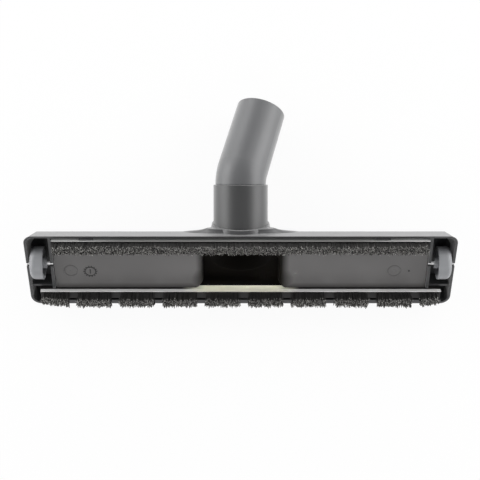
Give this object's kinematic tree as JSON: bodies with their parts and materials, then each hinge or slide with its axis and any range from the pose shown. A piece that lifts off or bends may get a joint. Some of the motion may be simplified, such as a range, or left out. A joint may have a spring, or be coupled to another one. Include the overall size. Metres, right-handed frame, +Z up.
{
  "type": "vacuum cleaner floor nozzle",
  "caption": "Wide floor nozzle with front and rear brush strips, end wheels and a swivelling elbow that takes a vacuum wand, lying on its back.",
  "frame": {"origin": "centre of the bounding box's underside, on the table that the nozzle lies on", "axes": "+X along the nozzle, +Y towards the neck and elbow, +Z up; the suction mouth faces up and forward"},
  "size_m": [0.3598, 0.1776, 0.0637],
  "materials": {
    "housing_plastic": "moulded grey, satin sheen",
    "sole_plastic": "moulded grey, smooth",
    "carrier_plastic": "black, smooth",
    "wheel_plastic": "moulded grey, satin sheen",
    "ring_plastic": "plain, slightly waxy",
    "zinc_steel": "zinc plated, satin",
    "axle_steel": "drawn wire, bright",
    "bristle": "stiff dark hair, cut tips"
  },
  "bodies": {
    "housing": {"housing": "housing_plastic", "sole_plate": "sole_plastic", "neck_collar": "housing_plastic", "snap_ring": "ring_plastic", "left_axle": "axle_steel", "right_axle": "axle_steel", "front_strip_rail": "zinc_steel", "front_strip_carrier": "carrier_plastic", "rear_strip_rail": "zinc_steel", "rear_strip_carrier": "carrier_plastic", "rear_bristles": "bristle", "front_tuft_01": "bristle", "front_tuft_02": "bristle", "front_tuft_03": "bristle", "front_tuft_04": "bristle", "front_tuft_05": "bristle", "front_tuft_06": "bristle", "front_tuft_07": "bristle", "front_tuft_08": "bristle", "front_tuft_09": "bristle", "front_tuft_10": "bristle"},
    "elbow": {"swivel_elbow": "housing_plastic"},
    "left_wheel": {"left_wheel": "wheel_plastic"},
    "right_wheel": {"right_wheel": "wheel_plastic"}
  },
  "joints": [
    {"name": "elbow_swivel", "type": "hinge", "parent": "housing", "child": "elbow", "pos_m": [0, 0.01351, 0.03712], "axis": [0, 0.9836, 0.1805], "continuous": true},
    {"name": "left_wheel_spin", "type": "hinge", "parent": "housing", "child": "left_wheel", "pos_m": [-0.1705, -0.0528, 0.03679], "axis": [1, 0, 0], "continuous": true},
    {"name": "right_wheel_spin", "type": "hinge", "parent": "housing", "child": "right_wheel", "pos_m": [0.1705, -0.0528, 0.03679], "axis": [1, 0, 0], "continuous": true}
  ]
}
